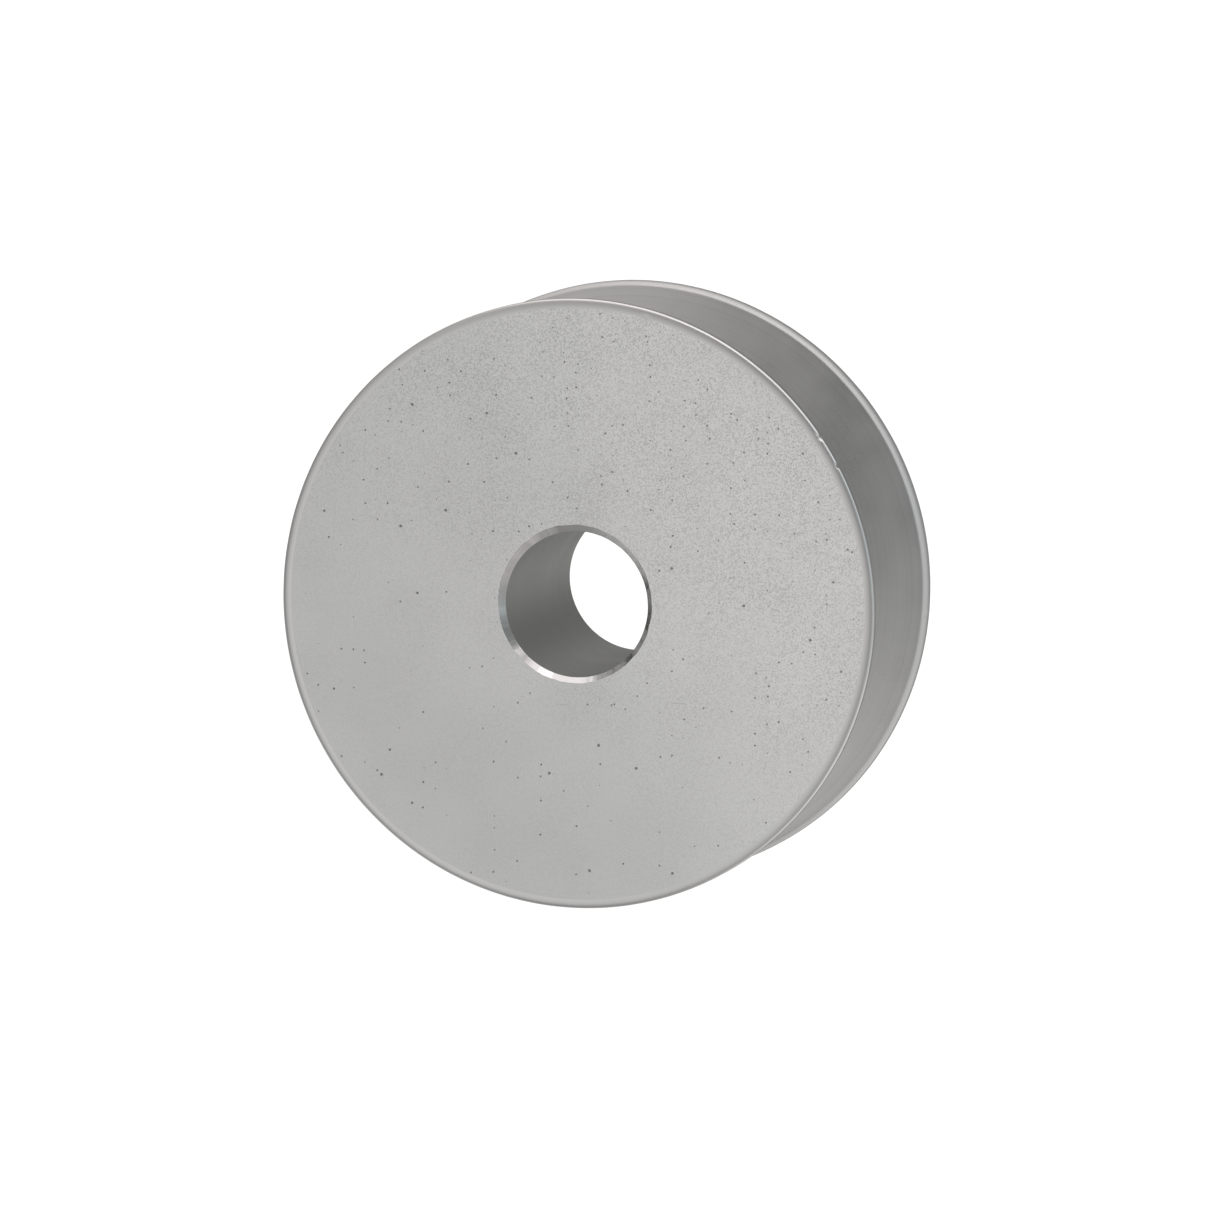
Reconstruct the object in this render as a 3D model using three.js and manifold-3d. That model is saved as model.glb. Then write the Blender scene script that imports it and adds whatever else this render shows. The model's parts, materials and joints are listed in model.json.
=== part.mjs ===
// A single-groove V-belt pulley for a 17 mm wide classical belt, with the grub screw that fixes it to its shaft.
// Millimetres. The wheel turns about Y, its front face looks towards -Y and Z is up.
// The origin is on the shaft's axis, half-way between the two faces.

import * as THREE from "three";
import { mergeVertices } from "three/addons/utils/BufferGeometryUtils.js";
import Module from "manifold-3d";

// Driving dimensions of the pulley
const OUTER_DIAMETER = 50;
const FACE_WIDTH = 20;
const SHAFT_DIAMETER = 12;
const GROOVE_MOUTH = 17.5;
const GROOVE_DEPTH = 14;
const GROOVE_ANGLE = 34;
const GROOVE_EDGE_RADIUS = 0.58;
const GROOVE_ROOT_RADIUS = 0.6;
const RIM_EDGE = { across: 0.75, deep: 0.3 };
const FRONT_CHAMFER = { across: 0.5, deep: 0.6 };
const REAR_CHAMFER = { across: 0.2, deep: 0.2 };

// Driving dimensions of the grub screw: M5 x 4, hexagon socket, cup point
const SCREW_DIAMETER = 5;
const SCREW_LENGTH = 4;
const SCREW_BACKED_OFF = 0.7;
const SCREW_EDGE = 0.4;
const POINT_DIAMETER = 2.5;
const POINT_LENGTH = 1;
const CUP_DEPTH = 0.35;
const SOCKET_ACROSS_FLATS = 2.5;
const SOCKET_DEPTH = 1.6;
const SCREW_CLEARANCE = 0.3;
const HOLE_COUNTERSINK = 0.35;

// How finely the round faces are divided
const WHEEL_SIDES = 96;
const SCREW_SIDES = 48;
const RIM_EDGE_STEPS = 4;
const GROOVE_EDGE_STEPS = 3;
const ROOT_STEPS = 3;

// Sizes that follow from them
const rimRadius = OUTER_DIAMETER / 2;
const halfWidth = FACE_WIDTH / 2;
const boreRadius = SHAFT_DIAMETER / 2;
const grooveRadius = rimRadius - GROOVE_DEPTH;
const halfMouth = GROOVE_MOUTH / 2;
const halfRoot = halfMouth - GROOVE_DEPTH * Math.tan(THREE.MathUtils.degToRad(GROOVE_ANGLE / 2));
const screwRadius = SCREW_DIAMETER / 2;
const holeRadius = screwRadius + SCREW_CLEARANCE;
const screwTip = boreRadius + SCREW_BACKED_OFF;

const wasm = await Module();
wasm.setup();

function toSolid(geometry) {
  const bare = geometry.clone();
  bare.deleteAttribute("normal");
  bare.deleteAttribute("uv");
  const welded = mergeVertices(bare, 1e-5);
  const vertProperties = new Float32Array(welded.attributes.position.array);
  const triVerts = new Uint32Array(welded.index.array);
  return new wasm.Manifold(new wasm.Mesh({ numProp: 3, vertProperties, triVerts }));
}

function toGeometry(solid) {
  const mesh = solid.getMesh();
  const geometry = new THREE.BufferGeometry();
  geometry.setAttribute("position", new THREE.BufferAttribute(mesh.vertProperties, 3));
  geometry.setIndex(new THREE.BufferAttribute(mesh.triVerts, 1));
  geometry.computeVertexNormals();
  return geometry;
}

// Replaces one corner of an outline with an arc that touches both of its edges.
function roundedCorner(before, corner, after, radius, steps) {
  const toBefore = before.clone().sub(corner).normalize();
  const toAfter = after.clone().sub(corner).normalize();
  const halfAngle = Math.acos(toBefore.dot(toAfter)) / 2;
  const middle = toBefore.clone().add(toAfter).normalize();
  const centre = corner.clone().addScaledVector(middle, radius / Math.sin(halfAngle));
  const from = corner.clone().addScaledVector(toBefore, radius / Math.tan(halfAngle)).sub(centre);
  const to = corner.clone().addScaledVector(toAfter, radius / Math.tan(halfAngle)).sub(centre);
  const start = from.angle();
  const turn = Math.atan2(from.cross(to), from.dot(to));
  const points = [];
  for (let i = 0; i <= steps; i += 1) {
    const angle = start + (turn * i) / steps;
    points.push(new THREE.Vector2(Math.cos(angle), Math.sin(angle)).multiplyScalar(radius).add(centre));
  }
  return points;
}

// The outline's corners are { r, y } with an optional rounding { radius, steps }.
function outline(corners) {
  const at = corners.map((corner) => new THREE.Vector2(corner.r, corner.y));
  const points = corners.flatMap((corner, i) => {
    if (!corner.round) {
      return [at[i]];
    }
    const before = at[(i + at.length - 1) % at.length];
    const after = at[(i + 1) % at.length];
    return roundedCorner(before, at[i], after, corner.round.radius, corner.round.steps);
  });
  return [...points, points[0]];
}

// Where a face rolls over into the rim: a quarter ellipse on the front (-1) or the rear (1) of the wheel.
function rolledEdge(side) {
  const corners = [];
  for (let i = 0; i <= RIM_EDGE_STEPS; i += 1) {
    const angle = (Math.PI / 2) * (i / RIM_EDGE_STEPS);
    const r = rimRadius - RIM_EDGE.across * (1 - Math.sin(angle));
    const y = side * (halfWidth - RIM_EDGE.deep * (1 - Math.cos(angle)));
    corners.push({ r, y });
  }
  return side < 0 ? corners : corners.reverse();
}

// The wheel's half section: faces, two rims and the V groove, turned in one piece.
function turnedWheel() {
  const edge = { radius: GROOVE_EDGE_RADIUS, steps: GROOVE_EDGE_STEPS };
  const root = { radius: GROOVE_ROOT_RADIUS, steps: ROOT_STEPS };
  const section = outline([
    { r: boreRadius, y: -halfWidth + FRONT_CHAMFER.deep },
    { r: boreRadius + FRONT_CHAMFER.across, y: -halfWidth },
    ...rolledEdge(-1),
    { r: rimRadius, y: -halfMouth, round: edge },
    { r: grooveRadius, y: -halfRoot, round: root },
    { r: grooveRadius, y: halfRoot, round: root },
    { r: rimRadius, y: halfMouth, round: edge },
    ...rolledEdge(1),
    { r: boreRadius + REAR_CHAMFER.across, y: halfWidth },
    { r: boreRadius, y: halfWidth - REAR_CHAMFER.deep },
  ]);
  return new THREE.LatheGeometry(section, WHEEL_SIDES);
}

// A turned tool or pin on the Z axis, from its { r, z } outline, lowest point first.
function turnedOnZ(corners, sides) {
  const points = corners.map((corner) => new THREE.Vector2(corner.r, corner.z));
  return new THREE.LatheGeometry(points, sides).rotateX(Math.PI / 2);
}

// The radial hole for the grub screw, from the shaft bore up through the bottom of the groove.
function radialHole() {
  const below = boreRadius / 2;
  const above = grooveRadius + 1;
  const slope = HOLE_COUNTERSINK + above - grooveRadius;
  return turnedOnZ([
    { r: 0, z: below },
    { r: holeRadius, z: below },
    { r: holeRadius, z: grooveRadius - HOLE_COUNTERSINK },
    { r: holeRadius + slope, z: above },
    { r: 0, z: above },
  ], SCREW_SIDES);
}

function pulleyBody() {
  return toGeometry(toSolid(turnedWheel()).subtract(toSolid(radialHole())));
}

function hexagonSocket(top) {
  const cornerRadius = SOCKET_ACROSS_FLATS / Math.sqrt(3);
  const above = 0.5;
  const height = SOCKET_DEPTH + above;
  const prism = new THREE.CylinderGeometry(cornerRadius, cornerRadius, height, 6);
  return prism.rotateX(Math.PI / 2).translate(0, 0, top + above - height / 2);
}

function grubScrew() {
  const top = screwTip + SCREW_LENGTH;
  const blank = turnedOnZ([
    { r: 0, z: screwTip + CUP_DEPTH },
    { r: POINT_DIAMETER / 2, z: screwTip },
    { r: screwRadius, z: screwTip + POINT_LENGTH },
    { r: screwRadius, z: top - SCREW_EDGE },
    { r: screwRadius - SCREW_EDGE, z: top },
    { r: 0, z: top },
  ], SCREW_SIDES);
  return toGeometry(toSolid(blank).subtract(toSolid(hexagonSocket(top))));
}

const turnedAluminium = new THREE.MeshStandardMaterial({ color: 0xb4b4b2, roughness: 0.55, metalness: 1 });
const blackenedSteel = new THREE.MeshStandardMaterial({ color: 0x2b2b2d, roughness: 0.5, metalness: 1 });

const pulley = new THREE.Mesh(pulleyBody(), turnedAluminium);
pulley.name = "pulley_body";

const setScrew = new THREE.Mesh(grubScrew(), blackenedSteel);
setScrew.name = "set_screw";

const assembly = new THREE.Group();
assembly.add(pulley, setScrew);

export default assembly;
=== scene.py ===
import json
import math

import bmesh
import bpy
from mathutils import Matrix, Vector, noise


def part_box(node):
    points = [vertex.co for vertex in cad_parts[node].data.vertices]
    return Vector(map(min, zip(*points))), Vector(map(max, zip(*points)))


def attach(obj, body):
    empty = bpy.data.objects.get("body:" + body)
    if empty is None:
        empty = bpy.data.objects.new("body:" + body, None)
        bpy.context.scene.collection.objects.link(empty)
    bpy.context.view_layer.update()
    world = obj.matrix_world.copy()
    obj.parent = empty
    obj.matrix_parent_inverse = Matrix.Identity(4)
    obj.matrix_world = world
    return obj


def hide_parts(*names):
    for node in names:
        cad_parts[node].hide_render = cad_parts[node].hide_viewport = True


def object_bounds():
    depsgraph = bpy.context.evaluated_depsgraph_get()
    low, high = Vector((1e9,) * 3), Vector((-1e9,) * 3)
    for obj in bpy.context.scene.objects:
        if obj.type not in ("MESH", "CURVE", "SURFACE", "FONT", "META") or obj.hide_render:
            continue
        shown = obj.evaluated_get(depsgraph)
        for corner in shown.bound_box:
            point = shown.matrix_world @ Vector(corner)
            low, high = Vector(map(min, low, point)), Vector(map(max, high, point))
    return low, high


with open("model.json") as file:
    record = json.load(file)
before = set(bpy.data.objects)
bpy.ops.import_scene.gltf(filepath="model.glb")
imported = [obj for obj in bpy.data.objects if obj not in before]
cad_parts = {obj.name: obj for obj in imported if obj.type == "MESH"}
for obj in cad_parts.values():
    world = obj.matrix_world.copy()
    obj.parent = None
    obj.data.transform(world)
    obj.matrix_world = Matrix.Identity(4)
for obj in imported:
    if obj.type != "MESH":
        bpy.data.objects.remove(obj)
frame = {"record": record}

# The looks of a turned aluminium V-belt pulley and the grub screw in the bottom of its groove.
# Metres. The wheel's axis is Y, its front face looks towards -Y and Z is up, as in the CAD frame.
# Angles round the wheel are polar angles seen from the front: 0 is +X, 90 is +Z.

MM = 0.001

cad_low, cad_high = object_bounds()
_, wheel_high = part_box("pulley_body")
screw_low, screw_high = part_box("set_screw")
mounts = {mount["name"]: mount for mount in frame["record"]["mounts"]}

# Sizes that the frame gives
RIM_RADIUS = wheel_high.x
HALF_WIDTH = wheel_high.y
BORE_RADIUS = mounts["shaft_bore"]["dims"]["r_mm"] * MM
SCREW_RADIUS = screw_high.x
SCREW_TIP = screw_low.z
SCREW_TOP = screw_high.z

# The wheel's section
GROOVE_DEPTH = 14 * MM
GROOVE_HALF_ANGLE = math.radians(17)
GROOVE_HALF_MOUTH = 8.75 * MM
GROOVE_RADIUS = RIM_RADIUS - GROOVE_DEPTH
RIM_EDGE_ACROSS = 0.75 * MM
RIM_EDGE_DEEP = 0.3 * MM
GROOVE_EDGE_RADIUS = 0.7 * MM
ROOT_FILLET = 0.6 * MM
FRONT_CHAMFER = (0.5 * MM, 0.42 * MM)
REAR_CHAMFER = (0.2 * MM, 0.2 * MM)
WHEEL_SIDES = 960

# Into how many stretches each part of the section is divided
FACE_STEPS = 8
RIM_EDGE_STEPS = 12
LIP_STEPS = 10
WALL_STEPS = 6
FILLET_STEPS = 8
FLOOR_STEPS = 3
BORE_STEPS = 6

# The front chamfer was cut by hand with the tool askew: deeper on the right, wider at the upper left
CHAMFER_TILT = 0.18 * MM
CHAMFER_SHALLOWEST = 0.3 * MM
CHAMFER_DEEPEST = 0.37 * MM
CHAMFER_SHIFT_LEFT = 0.06 * MM
CHAMFER_SHIFT_UP = 0.07 * MM
CHAMFER_WANDER = 0.035 * MM
EDGE_WANDER = 0.01 * MM
WANDER_GAIN = 1.6

# Small dents in the rims: polar angle in degrees, radius, y, reach and depth in millimetres
DENTS = [
    (35.0, 24.9, -9.75, 0.34, 0.26),
    (28.6, 24.95, -9.7, 0.28, 0.20),
    (4.0, 24.85, -9.7, 0.22, 0.06),
    (-3.0, 24.9, -9.6, 0.20, 0.07),
    (-20.0, 24.9, -9.5, 0.26, 0.09),
    (-26.0, 24.9, -9.6, 0.22, 0.07),
    (76.0, 24.4, -10.0, 0.34, 0.07),
    (-5.0, 24.85, 8.9, 0.34, 0.10),
]

# The grub screw and its thread
SCREW_SIDES = 72
PITCH = 0.8 * MM
THREAD_DEPTH = 0.46 * MM
THREAD_STEPS = 12
THREAD_PLAY = 0.05 * MM
CREST_BELOW = 0.03 * MM
CREST_SHARE = 0.125
FLANK_SHARE = 0.625
SCREW_EDGE = 0.4 * MM
POINT_RADIUS = 1.25 * MM
POINT_LENGTH = 1 * MM
CUP_RADIUS = 0.8 * POINT_RADIUS
CUP_DEPTH = 0.35 * MM
SOCKET_ACROSS_FLATS = 2.5 * MM
SOCKET_MOUTH = 2.75 * MM
SOCKET_EDGE = 0.12 * MM
SOCKET_DEPTH = 1.6 * MM
SOCKET_CONE = 0.3 * MM
HOLE_COUNTERSINK = 0.35 * MM

# Corners sharper than this, in degrees, stay crisp
SHARP_ANGLE = 30


# ---------------------------------------------------------------- mesh helpers

def new_object(name, vertices, faces, materials, face_materials=None):
    mesh = bpy.data.meshes.new(name)
    mesh.from_pydata(vertices, [], faces)
    for material in materials:
        mesh.materials.append(material)
    if face_materials:
        mesh.polygons.foreach_set("material_index", face_materials)
    mesh.update()
    obj = bpy.data.objects.new(name, mesh)
    bpy.context.scene.collection.objects.link(obj)
    return obj


def face_outwards(obj):
    work = bmesh.new()
    work.from_mesh(obj.data)
    bmesh.ops.recalc_face_normals(work, faces=work.faces)
    if work.calc_volume(signed=True) < 0:
        bmesh.ops.reverse_faces(work, faces=work.faces)
    work.to_mesh(obj.data)
    work.free()


def shade(obj):
    obj.data.shade_smooth()
    obj.data.set_sharp_from_angle(angle=math.radians(SHARP_ANGLE))


def sharpen_between(obj, zone_a, zone_b):
    """Keeps the line between two zones crisp, however flat the corner is."""
    work = bmesh.new()
    work.from_mesh(obj.data)
    for edge in work.edges:
        if {face.material_index for face in edge.link_faces} == {zone_a, zone_b}:
            edge.smooth = False
    work.to_mesh(obj.data)
    work.free()


def rounded_corner(before, corner, after, radius, steps):
    """Points of the arc that touches both edges of an outline's corner."""
    before, corner, after = Vector(before), Vector(corner), Vector(after)
    to_before = (before - corner).normalized()
    to_after = (after - corner).normalized()
    half = math.acos(to_before.dot(to_after)) / 2
    centre = corner + (to_before + to_after).normalized() * (radius / math.sin(half))
    first = corner + to_before * (radius / math.tan(half)) - centre
    last = corner + to_after * (radius / math.tan(half)) - centre
    start = math.atan2(first.y, first.x)
    turn = math.atan2(first.x * last.y - first.y * last.x, first.dot(last))
    angles = [start + turn * i / steps for i in range(steps + 1)]
    return [centre + Vector((math.cos(a), math.sin(a))) * radius for a in angles]


def straight(first, last, steps):
    """Points between two ends of a straight stretch, without the ends."""
    first, last = Vector(first), Vector(last)
    return [first.lerp(last, i / steps) for i in range(1, steps)]


# ---------------------------------------------------------------- the wheel

FACE, EDGE, GROOVE, BORE, CHAMFER = range(5)


def flange_section():
    """The front flange's outline from the chamfer to the groove's floor, as (points, zone) runs."""
    face_start = Vector((BORE_RADIUS + FRONT_CHAMFER[0], -HALF_WIDTH))
    face_end = Vector((RIM_RADIUS - RIM_EDGE_ACROSS, -HALF_WIDTH))
    edge = []
    for i in range(RIM_EDGE_STEPS + 1):
        a = math.pi / 2 * i / RIM_EDGE_STEPS
        across = RIM_EDGE_ACROSS * (1 - math.sin(a))
        deep = RIM_EDGE_DEEP * (1 - math.cos(a))
        edge.append(Vector((RIM_RADIUS - across, -HALF_WIDTH + deep)))
    mouth = Vector((RIM_RADIUS, -GROOVE_HALF_MOUTH))
    root = Vector((GROOVE_RADIUS, mouth.y + GROOVE_DEPTH * math.tan(GROOVE_HALF_ANGLE)))
    middle = Vector((GROOVE_RADIUS, 0))
    lip = rounded_corner(edge[-1], mouth, root, GROOVE_EDGE_RADIUS, LIP_STEPS)
    fillet = rounded_corner(mouth, root, middle, ROOT_FILLET, FILLET_STEPS)
    return [
        ([face_start] + straight(face_start, face_end, FACE_STEPS), FACE),
        (edge, EDGE),
        (lip[:-1], EDGE),
        ([lip[-1]] + straight(lip[-1], fillet[0], WALL_STEPS), GROOVE),
        (fillet, GROOVE),
        (straight(fillet[-1], middle, FLOOR_STEPS), GROOVE),
    ]


def wheel_section():
    """The closed outline as (point, zone of the stretch that starts there) pairs."""
    front = [(point, zone) for points, zone in flange_section() for point in points]
    middle = [(Vector((GROOVE_RADIUS, 0)), GROOVE)]
    rear = []
    for i in range(len(front) - 1, -1, -1):
        point = Vector((front[i][0].x, -front[i][0].y))
        zone = front[i - 1][1] if i > 0 else CHAMFER
        rear.append((point, zone))
    rear[-1] = (Vector((BORE_RADIUS + REAR_CHAMFER[0], HALF_WIDTH)), CHAMFER)
    rear_bore = Vector((BORE_RADIUS, HALF_WIDTH - REAR_CHAMFER[1]))
    front_bore = Vector((BORE_RADIUS, -HALF_WIDTH + FRONT_CHAMFER[1]))
    bore = [(point, BORE) for point in [rear_bore] + straight(rear_bore, front_bore, BORE_STEPS)]
    return front + middle + rear + bore + [(front_bore, CHAMFER)]


def chamfer_depth(angle):
    askew = FRONT_CHAMFER[1] + CHAMFER_TILT * math.cos(angle)
    return min(max(askew, CHAMFER_SHALLOWEST), CHAMFER_DEEPEST)


def wander(angle, waves, seed):
    """Smooth irregularity round the wheel, about -1 to 1, that closes up after a full turn."""
    return noise.noise(Vector((waves * math.cos(angle), waves * math.sin(angle), seed))) * WANDER_GAIN


def dent_push(place):
    """How far the dents press a point of a rim in, towards the middle of its flange."""
    push = Vector()
    for degrees, radius, y, reach, depth in DENTS:
        angle = math.radians(degrees)
        centre = Vector((radius * math.cos(angle), y, radius * math.sin(angle))) * MM
        far = (place - centre).length / (reach * MM)
        if far < 1:
            along = 0.5 if y < 0 else -0.5
            inwards = Vector((-math.cos(angle), along, -math.sin(angle))).normalized()
            push += inwards * depth * MM * (1 - far * far) ** 2
    return push


def ring(index, section, angle):
    """One vertex of the wheel: a section point carried round to an angle, with its irregularity."""
    (r, y), zone = section[index]
    if index == 0:
        r += CHAMFER_SHIFT_UP * math.sin(angle) - CHAMFER_SHIFT_LEFT * math.cos(angle)
        r += CHAMFER_WANDER * (wander(angle, 6, 3.0) + 0.5 * wander(angle, 17, 5.0))
    elif index == len(section) - 1:
        y = -HALF_WIDTH + chamfer_depth(angle) + CHAMFER_WANDER * wander(angle, 5, 7.0)
    elif zone == EDGE:
        r -= EDGE_WANDER * (0.5 + 0.5 * wander(angle, 14, 11.0 + math.copysign(1, y)))
    place = Vector((r * math.cos(angle), y, r * math.sin(angle)))
    if r > RIM_RADIUS - 2 * RIM_EDGE_ACROSS:
        place += dent_push(place)
    return place


def make_wheel(materials):
    section = wheel_section()
    angles = [math.tau * side / WHEEL_SIDES for side in range(WHEEL_SIDES)]
    vertices = [ring(i, section, angle) for i in range(len(section)) for angle in angles]
    faces = []
    zones = []
    for i, (_, zone) in enumerate(section):
        following = (i + 1) % len(section)
        for side in range(WHEEL_SIDES):
            across = (side + 1) % WHEEL_SIDES
            faces.append((i * WHEEL_SIDES + side, i * WHEEL_SIDES + across,
                          following * WHEEL_SIDES + across, following * WHEEL_SIDES + side))
            zones.append(zone)
    wheel = new_object("wheel", vertices, faces, materials, zones)
    face_outwards(wheel)
    return wheel


# ---------------------------------------------------------------- threads

def thread_radius(z, angle, play=0.0):
    """A right-hand M5 thread's radius: flat crests and roots, straight flanks between them."""
    along = (z - PITCH * angle / math.tau) / PITCH % 1
    from_crest = abs(along - 0.5) * 2
    fall = min(max((from_crest - CREST_SHARE) / FLANK_SHARE, 0), 1)
    return SCREW_RADIUS + play - THREAD_DEPTH * fall - CREST_BELOW


def turned_rings(name, rings, low, high, sides, material):
    """A closed solid from rings of vertices, lowest first, closed by a point at each end."""
    vertices = [Vector((0, 0, low))]
    for places in rings:
        vertices += places
    vertices.append(Vector((0, 0, high)))
    last = len(vertices) - 1
    faces = []
    for side in range(sides):
        across = (side + 1) % sides
        faces.append((0, 1 + across, 1 + side))
        for i in range(len(rings) - 1):
            below = 1 + i * sides
            above = below + sides
            faces.append((below + side, below + across, above + across, above + side))
        faces.append((last - sides + side, last - sides + across, last))
    obj = new_object(name, vertices, faces, [material])
    face_outwards(obj)
    return obj


def ring_at(z, radius_at, sides):
    """One ring at height z, whose radius is a function of the angle."""
    angles = [math.tau * side / sides for side in range(sides)]
    return [Vector((radius_at(a) * math.cos(a), radius_at(a) * math.sin(a), z)) for a in angles]


def make_tap(material):
    """The tapped hole's cutter: the screw's own thread with a little play, wider at the groove."""
    low = BORE_RADIUS / 2
    high = GROOVE_RADIUS + 1 * MM
    steps = round((high - low) / PITCH * THREAD_STEPS)
    sink_start = GROOVE_RADIUS - HOLE_COUNTERSINK
    rings = []
    for i in range(steps + 1):
        z = low + (high - low) * i / steps
        sink = SCREW_RADIUS + THREAD_PLAY + (z - sink_start) if z > sink_start else 0
        rings.append(ring_at(z, lambda a: max(thread_radius(z, a, THREAD_PLAY), sink), SCREW_SIDES))
    return turned_rings("tap", rings, low, high, SCREW_SIDES, material)


def hexagon_radius(angle, across_flats):
    within = (angle + math.pi / 6) % (math.pi / 3) - math.pi / 6
    return across_flats / 2 / math.cos(within)


def make_grub_screw(material):
    """M5 grub screw: cup point, thread, chamfered top and hexagon socket, all in one closed grid."""
    def body_radius(z, a):
        point = POINT_RADIUS + (SCREW_RADIUS - POINT_RADIUS) * (z - SCREW_TIP) / POINT_LENGTH
        top_edge = SCREW_RADIUS - SCREW_EDGE + (SCREW_TOP - z)
        return min(thread_radius(z, a), point, top_edge)

    rings = [ring_at(SCREW_TIP, lambda a: CUP_RADIUS, SCREW_SIDES)]
    steps = round((SCREW_TOP - SCREW_TIP) / PITCH * THREAD_STEPS)
    for i in range(steps + 1):
        z = SCREW_TIP + (SCREW_TOP - SCREW_TIP) * i / steps
        rings.append(ring_at(z, lambda a: body_radius(z, a), SCREW_SIDES))
    rings.append(ring_at(SCREW_TOP, lambda a: hexagon_radius(a, SOCKET_MOUTH), SCREW_SIDES))
    for depth in (SOCKET_EDGE, SOCKET_DEPTH * 0.6, SOCKET_DEPTH):
        z = SCREW_TOP - depth
        rings.append(ring_at(z, lambda a: hexagon_radius(a, SOCKET_ACROSS_FLATS), SCREW_SIDES))
    low = SCREW_TIP + CUP_DEPTH
    high = SCREW_TOP - SOCKET_DEPTH - SOCKET_CONE
    return turned_rings("grub_screw", rings, low, high, SCREW_SIDES, material)


def cut(piece, cutter):
    """Takes the cutter's shape out of the piece and removes the cutter."""
    modifier = piece.modifiers.new("cut", "BOOLEAN")
    modifier.operation = "DIFFERENCE"
    modifier.solver = "EXACT"
    modifier.object = cutter
    evaluated = piece.evaluated_get(bpy.context.evaluated_depsgraph_get())
    cut_mesh = bpy.data.meshes.new_from_object(evaluated)
    piece.modifiers.clear()
    piece.data = cut_mesh
    bpy.data.objects.remove(cutter)


# ---------------------------------------------------------------- materials

GRAIN_DARKNESS = 0.55
PIT_DARKNESS = 0.8
SCRATCH_DARKNESS = 0.45
TOOL_LINE_SPACING = 0.16 * MM
TOOL_LINE_DARKNESS = 0.1
FACES_DIFFER_BY = 9


class Recipe:
    """A metal's procedural surface, built from a few plain steps. Lengths are in metres."""

    def __init__(self, name, roughness, anisotropic=0.0):
        self.material = bpy.data.materials.new(name)
        self.material.use_nodes = True
        self.tree = self.material.node_tree
        self.surface = self.tree.nodes["Principled BSDF"]
        self.surface.inputs["Metallic"].default_value = 1
        self.surface.inputs["Roughness"].default_value = roughness
        self.surface.inputs["Anisotropic"].default_value = anisotropic
        self.where = self.tree.nodes.new("ShaderNodeTexCoord").outputs["Object"]
        self.normal = None
        if anisotropic:
            tangent = self.tree.nodes.new("ShaderNodeTangent")
            tangent.direction_type = "RADIAL"
            tangent.axis = "Y"
            self.plug(self.surface.inputs["Tangent"], tangent.outputs["Tangent"])

    def plug(self, socket, value):
        if isinstance(value, bpy.types.NodeSocket):
            self.tree.links.new(value, socket)
        else:
            socket.default_value = value

    def maths(self, operation, a, b=0.0):
        node = self.tree.nodes.new("ShaderNodeMath")
        node.operation = operation
        self.plug(node.inputs[0], a)
        self.plug(node.inputs[1], b)
        return node.outputs[0]

    def mapped(self, value, low, high, new_low=0.0, new_high=1.0):
        node = self.tree.nodes.new("ShaderNodeMapRange")
        node.interpolation_type = "SMOOTHSTEP"
        for socket, number in zip(node.inputs, (value, low, high, new_low, new_high)):
            self.plug(socket, number)
        return node.outputs[0]

    def mixed(self, factor, colour_a, colour_b):
        node = self.tree.nodes.new("ShaderNodeMix")
        node.data_type = "RGBA"
        sockets = {s.identifier: s for s in node.inputs}
        self.plug(sockets["Factor_Float"], factor)
        self.plug(sockets["A_Color"], colour_a)
        self.plug(sockets["B_Color"], colour_b)
        return {s.identifier: s for s in node.outputs}["Result_Color"]

    def parts(self, vector):
        """The X, Y and Z of a vector."""
        node = self.tree.nodes.new("ShaderNodeSeparateXYZ")
        self.plug(node.inputs[0], vector)
        return node.outputs

    def flat(self, x, y):
        """A vector in the XY plane."""
        node = self.tree.nodes.new("ShaderNodeCombineXYZ")
        self.plug(node.inputs[0], x)
        self.plug(node.inputs[1], y)
        return node.outputs[0]

    def added(self, a, b):
        return self.maths("ADD", a, b)

    def times(self, a, b):
        return self.maths("MULTIPLY", a, b)

    def length(self, a, b):
        """The length of a vector with these two parts."""
        squares = self.added(self.maths("POWER", a, 2), self.maths("POWER", b, 2))
        return self.maths("SQRT", squares)

    def noise(self, size, detail=1.0, where=None):
        """Soft random patches, each about `size` across, from 0 to 1."""
        node = self.tree.nodes.new("ShaderNodeTexNoise")
        node.inputs["Scale"].default_value = 1 / size
        node.inputs["Detail"].default_value = detail
        self.plug(node.inputs["Vector"], where or self.where)
        return node.outputs[0]

    def on_face(self, turn=0.0, squash=1.0):
        """Flat coordinates on the faces, turned by an angle and squashed one way. The faces differ."""
        x, y, z = self.parts(self.where)
        across = self.added(x, self.times(y, FACES_DIFFER_BY))
        node = self.tree.nodes.new("ShaderNodeMapping")
        node.vector_type = "POINT"
        node.inputs["Rotation"].default_value = (0, 0, turn)
        node.inputs["Scale"].default_value = (squash, 1, 1)
        self.plug(node.inputs["Vector"], self.flat(across, z))
        return node.outputs[0]

    def radius(self):
        """Distance from the wheel's axis."""
        x, _, z = self.parts(self.where)
        return self.length(x, z)

    def turning_lines(self):
        """Fine rings left by the turning tool: noise that only changes across them."""
        y = self.parts(self.where)[1]
        return self.noise(TOOL_LINE_SPACING, 2.0, self.flat(self.radius(), y))

    def pits(self, where, cell, smallest, largest, share):
        """Round pits, 1 inside and 0 outside: at most one in each cell, in a share of the cells."""
        node = self.tree.nodes.new("ShaderNodeTexVoronoi")
        node.voronoi_dimensions = "2D"
        node.inputs["Scale"].default_value = 1 / cell
        self.plug(node.inputs["Vector"], where)
        lot, size, _ = self.parts(node.outputs["Color"])
        chosen = self.maths("LESS_THAN", lot, share)
        reach = self.mapped(size, 0, 1, smallest / cell, largest / cell)
        depth = self.maths("DIVIDE", self.maths("SUBTRACT", reach, node.outputs["Distance"]), reach)
        return self.times(self.mapped(depth, 0, 0.6), chosen)

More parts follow.
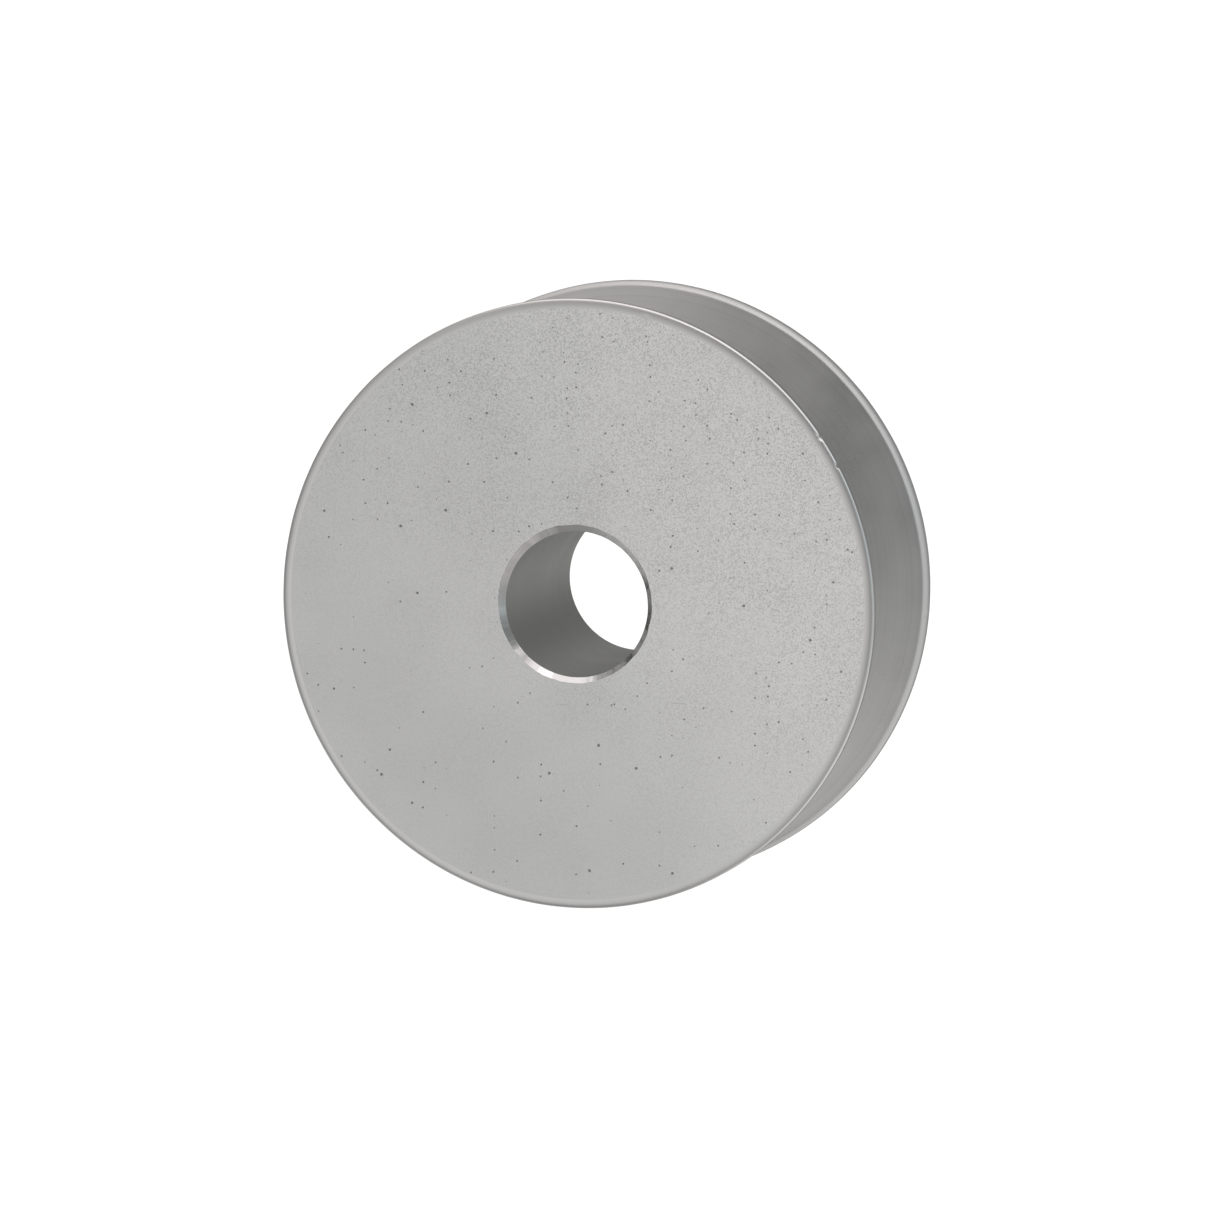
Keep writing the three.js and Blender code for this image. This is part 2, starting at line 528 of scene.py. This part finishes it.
    def raise_by(self, height, distance, strength=1.0):
        node = self.tree.nodes.new("ShaderNodeBump")
        node.inputs["Distance"].default_value = distance
        self.plug(node.inputs["Strength"], strength)
        self.plug(node.inputs["Height"], height)
        if self.normal:
            self.plug(node.inputs["Normal"], self.normal)
        self.normal = node.outputs[0]

    def finish(self, colour, roughness=None):
        self.plug(self.surface.inputs["Base Color"], colour)
        if roughness is not None:
            self.plug(self.surface.inputs["Roughness"], roughness)
        if self.normal:
            self.plug(self.surface.inputs["Normal"], self.normal)
        return self.material


def blasted_face():
    """The two flat faces: a fine matte grain, scattered pits and a few short scratches."""
    metal = Recipe("blasted_face", 0.5, 0.5)
    x, _, z = metal.parts(metal.where)

    # The grain shows stronger towards the top right, partly from uneven blasting and partly as painted
    # shading where the light falls there. The metal is painted paler on the right, a painted highlight
    # that stands in for light
    to_top_right = metal.added(metal.times(x, 0.6), z)
    to_right = metal.added(x, metal.times(z, 0.6))
    # Partly painted shading: the grain's dark speckle is made stronger towards the top right, where the
    # light falls, on top of random patches of uneven blasting
    side = metal.mapped(to_top_right, -20 * MM, 20 * MM, 0.3, 1.0)
    strength = metal.times(side, metal.mapped(metal.noise(5 * MM), 0.3, 0.65, 0.7, 1.0))
    # Painted highlight: the base colour is painted paler towards the right, standing in for the light
    # that falls on that side
    painted_light_right = metal.mapped(to_right, -24 * MM, 24 * MM)
    tone_with_painted_light = metal.mixed(painted_light_right, (0.69, 0.69, 0.683, 1), (0.87, 0.865, 0.85, 1))

    grain = metal.noise(0.12 * MM, 2.0)
    speckle = metal.times(metal.mapped(grain, 0.58, 0.34), strength)
    grained = metal.mixed(metal.times(speckle, GRAIN_DARKNESS), tone_with_painted_light, (0.42, 0.418, 0.41, 1))

    small_share = metal.times(strength, 0.42)
    small = metal.pits(metal.on_face(), 1.0 * MM, 0.035 * MM, 0.10 * MM, small_share)
    large = metal.pits(metal.on_face(0.4), 3.2 * MM, 0.09 * MM, 0.15 * MM, 0.22)
    pitted = metal.maths("MAXIMUM", small, large)
    scratch_a = metal.pits(metal.on_face(0.8, 0.05), 0.55 * MM, 0.02 * MM, 0.05 * MM, 0.02)
    scratch_b = metal.pits(metal.on_face(-0.6, 0.07), 0.75 * MM, 0.02 * MM, 0.05 * MM, 0.02)
    scratches = metal.times(metal.maths("MAXIMUM", scratch_a, scratch_b), SCRATCH_DARKNESS)
    marked = metal.mixed(scratches, grained, (0.4, 0.4, 0.39, 1))
    colour = metal.mixed(metal.times(pitted, PIT_DARKNESS), marked, (0.17, 0.17, 0.17, 1))

    metal.raise_by(grain, 0.012 * MM, strength)
    metal.raise_by(metal.maths("SUBTRACT", 1.0, pitted), 0.03 * MM)
    return metal.finish(colour, metal.mapped(metal.noise(6 * MM, 1.0), 0.3, 0.7, 0.49, 0.51))


def rolled_edge():
    """The rims: as matte as the faces beside them, smoothest at the corner, worn soft round the lip."""
    metal = Recipe("rolled_edge", 0.3, 0.5)
    y = metal.parts(metal.where)[1]
    outwards = metal.maths("ABSOLUTE", y)
    corner = HALF_WIDTH - RIM_EDGE_DEEP
    near_face = metal.mapped(outwards, HALF_WIDTH - 0.5 * RIM_EDGE_DEEP, HALF_WIDTH, 0, 0.2)
    near_lip = metal.mapped(outwards, corner - RIM_EDGE_DEEP, corner, 0.14, 0)
    at_rear = metal.mapped(y, 0, 0.5 * HALF_WIDTH, 0, 0.18)
    off_the_wall = metal.mapped(metal.radius(), RIM_RADIUS - 0.5 * MM, RIM_RADIUS - 0.2 * MM)
    worn = metal.times(metal.added(near_lip, at_rear), off_the_wall)
    roughness = metal.added(metal.added(near_face, worn), 0.3)
    patches = metal.noise(4 * MM, 2.0)
    colour = metal.mixed(patches, (0.73, 0.725, 0.72, 1), (0.78, 0.775, 0.77, 1))
    metal.raise_by(metal.turning_lines(), 0.002 * MM)
    return metal.finish(colour, roughness)


def smooth_metal(name, colour_a, colour_b, roughness, line_height):
    """Bright turned metal: faint cloudy patches and rings from the tool."""
    metal = Recipe(name, roughness)
    patches = metal.noise(4 * MM, 2.0)
    lines = metal.turning_lines()
    metal.raise_by(lines, line_height)
    colour = metal.mixed(patches, colour_a, colour_b)
    dark_lines = metal.mapped(lines, 0.3, 0.6, TOOL_LINE_DARKNESS, 0.0)
    lined = metal.mixed(dark_lines, colour, (0.3, 0.3, 0.3, 1))
    return metal.finish(lined, metal.mapped(patches, 0.3, 0.7, roughness - 0.03, roughness + 0.03))


def black_oxide():
    """Blackened steel, rubbed bright in places on the crests of the thread."""
    metal = Recipe("black_oxide", 0.38)
    x, y, _ = metal.parts(metal.where)
    crest = metal.mapped(metal.length(x, y), SCREW_RADIUS - 0.14 * MM, SCREW_RADIUS - CREST_BELOW)
    rubbed = metal.times(crest, metal.mapped(metal.noise(0.5 * MM, 2.0), 0.42, 0.62))
    black = metal.mixed(metal.noise(0.8 * MM, 2.0), (0.028, 0.028, 0.032, 1), (0.05, 0.049, 0.05, 1))
    metal.raise_by(metal.noise(0.09 * MM, 2.0), 0.006 * MM)
    worn = metal.mixed(rubbed, black, (0.36, 0.35, 0.34, 1))
    return metal.finish(worn, metal.mapped(rubbed, 0, 1, 0.42, 0.26))


# ---------------------------------------------------------------- the studio

CAMERA_AZIMUTH = 15.355
CAMERA_ELEVATION = 6.604
CAMERA_DISTANCE = 31.25 * RIM_RADIUS
CAMERA_ASIDE = 0.1026 * RIM_RADIUS
CAMERA_BELOW = 0.0072 * RIM_RADIUS
CAMERA_LENS = 284.4
LIGHT_DISTANCE = 0.7
FLOOR_HALF_SIZE = 6.0


def direction(azimuth, elevation):
    """The way to something seen from the wheel: azimuth 0 is straight in front, 90 to the right."""
    a, e = math.radians(azimuth), math.radians(elevation)
    return Vector((math.sin(a) * math.cos(e), -math.cos(a) * math.cos(e), math.sin(e)))


def make_camera():
    """A long lens, a little right of the wheel and above it, aimed beside the front face's centre."""
    back = direction(CAMERA_AZIMUTH, CAMERA_ELEVATION)
    a = math.radians(CAMERA_AZIMUTH)
    right = Vector((math.cos(a), math.sin(a), 0))
    up = back.cross(right)
    aim = Vector((0, -HALF_WIDTH, 0)) + right * CAMERA_ASIDE - up * CAMERA_BELOW
    camera = bpy.data.objects.new("camera", bpy.data.cameras.new("camera"))
    camera.data.lens = CAMERA_LENS
    camera.data.sensor_width = 36
    camera.data.clip_start = 0.01
    camera.data.clip_end = 20
    camera.location = aim + back * CAMERA_DISTANCE
    camera.rotation_mode = "QUATERNION"
    camera.rotation_quaternion = (-back).to_track_quat("-Z", "Y")
    bpy.context.scene.collection.objects.link(camera)
    bpy.context.scene.camera = camera


def softbox(name, azimuth, elevation, size, radiance, colour):
    """A square soft light that looks at the wheel, as bright all over as `radiance` says."""
    towards = direction(azimuth, elevation)
    light = bpy.data.lights.new(name, "AREA")
    light.shape = "SQUARE"
    light.size = size
    light.energy = math.pi * size * size * radiance
    light.color = colour
    obj = bpy.data.objects.new(name, light)
    obj.location = towards * LIGHT_DISTANCE
    obj.rotation_mode = "QUATERNION"
    obj.rotation_quaternion = (-towards).to_track_quat("-Z", "Y")
    obj.visible_camera = False
    bpy.context.scene.collection.objects.link(obj)


def make_floor():
    """White paper, lit well enough to be white itself, and kept out of the metal's reflections."""
    half = FLOOR_HALF_SIZE
    corners = [(-half, -half), (half, -half), (half, half), (-half, half)]
    material = bpy.data.materials.new("paper")
    material.use_nodes = True
    shader = material.node_tree.nodes["Principled BSDF"]
    shader.inputs["Base Color"].default_value = (0.16, 0.16, 0.16, 1)
    shader.inputs["Roughness"].default_value = 1
    shader.inputs["Specular IOR Level"].default_value = 0
    shader.inputs["Emission Color"].default_value = (1, 1, 1, 1)
    shader.inputs["Emission Strength"].default_value = 1
    floor = new_object("floor", [(x, y, cad_low.z) for x, y in corners], [(0, 1, 2, 3)], [material])
    floor.visible_glossy = False
    floor.visible_diffuse = False
    floor.visible_shadow = False


def glow(tree, azimuth, elevation, width, colour):
    """A round patch of light in the room that fades out from its middle over `width` degrees."""
    def step(kind, operation, first, second):
        node = tree.nodes.new(kind)
        node.operation = operation
        tree.links.new(first, node.inputs[0])
        node.inputs[1].default_value = second
        return node

    sky = tree.nodes.new("ShaderNodeTexCoord").outputs["Generated"]
    middle = direction(azimuth, elevation)
    towards = step("ShaderNodeVectorMath", "DOT_PRODUCT", sky, middle).outputs["Value"]
    away = step("ShaderNodeMath", "SUBTRACT", towards, 1).outputs[0]
    spread = step("ShaderNodeMath", "MULTIPLY", away, 1 / math.radians(width) ** 2).outputs[0]
    fade = step("ShaderNodeMath", "POWER", spread, 1)
    fade.operation = "EXPONENT"
    patch = tree.nodes.new("ShaderNodeVectorMath")
    patch.operation = "SCALE"
    patch.inputs[0].default_value = colour
    tree.links.new(fade.outputs[0], patch.inputs["Scale"])
    return patch.outputs[0]


def make_world(base, glows):
    """A dim room round the metal with soft glows in it, white where the camera looks past the floor."""
    world = bpy.data.worlds.new("studio")
    bpy.context.scene.world = world
    world.use_nodes = True
    tree = world.node_tree
    light = None
    for azimuth, elevation, width, colour in glows:
        patch = glow(tree, azimuth, elevation, width, colour)
        add = tree.nodes.new("ShaderNodeVectorMath")
        add.operation = "ADD"
        add.inputs[1].default_value = base
        tree.links.new(patch, add.inputs[0])
        if light:
            tree.links.new(light, add.inputs[1])
        light = add.outputs[0]
    room = tree.nodes["Background"]
    tree.links.new(light, room.inputs["Color"])
    backdrop = tree.nodes.new("ShaderNodeBackground")
    backdrop.inputs["Color"].default_value = (1, 1, 1, 1)
    choice = tree.nodes.new("ShaderNodeMixShader")
    tree.links.new(tree.nodes.new("ShaderNodeLightPath").outputs["Is Camera Ray"], choice.inputs[0])
    tree.links.new(room.outputs[0], choice.inputs[1])
    tree.links.new(backdrop.outputs[0], choice.inputs[2])
    tree.links.new(choice.outputs[0], tree.nodes["World Output"].inputs["Surface"])


make_camera()
make_floor()

# What the metal mirrors: azimuth, elevation and width in degrees, then the brightness
make_world((0.04, 0.04, 0.04), [
    (-15, -8, 22, (0.42, 0.42, 0.42)),      # in front, where the flat face looks
    (-20, -16, 16, (0.85, 0.85, 0.85)),     # in front, low
    (-44, 25, 18, (0.22, 0.215, 0.21)),     # front left
    (-20, 50, 16, (0.36, 0.35, 0.34)),      # in front, high: the top of the groove
    (-80, 24, 22, (0.17, 0.17, 0.17)),      # left
    (-100, -40, 25, (0.4, 0.4, 0.4)),       # left, low
    (-130, -30, 20, (0.35, 0.35, 0.35)),    # behind left: the left end of the rims
    (-150, 60, 25, (0.7, 0.68, 0.665)),     # behind left, high: the lower part of the bore
    (118, -40, 28, (0.85, 0.85, 0.835)),    # behind right, low: the upper part of the bore
    (60, -42, 25, (0.48, 0.46, 0.455)),     # right, low: the chamfer's upper left
    (85, 32, 18, (0.72, 0.79, 0.81)),       # right: the rims' bright line
    (54, 0, 11, (0.28, 0.35, 0.365)),       # right, cooler: the chamfer's left side
])
softbox("overhead", -20, 84, 0.68, 0.75, (1.0, 0.955, 0.94))
softbox("upper_right", 50, 50, 0.5, 0.9, (1.0, 0.965, 0.955))
bpy.context.scene.view_settings.view_transform = "Standard"

wheel = make_wheel([
    blasted_face(),
    rolled_edge(),
    smooth_metal("turned_groove", (0.76, 0.76, 0.75, 1), (0.82, 0.82, 0.81, 1), 0.3, 0.001 * MM),
    smooth_metal("bored_wall", (0.68, 0.695, 0.66, 1), (0.72, 0.735, 0.7, 1), 0.24, 0.002 * MM),
    smooth_metal("cut_chamfer", (0.78, 0.77, 0.765, 1), (0.84, 0.83, 0.825, 1), 0.22, 0.004 * MM),
])
cut(wheel, make_tap(wheel.data.materials[BORE]))
shade(wheel)
sharpen_between(wheel, FACE, CHAMFER)
sharpen_between(wheel, CHAMFER, BORE)
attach(wheel, "pulley")
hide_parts("pulley_body")

grub_screw = make_grub_screw(black_oxide())
shade(grub_screw)
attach(grub_screw, "grub_screw")
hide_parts("set_screw")
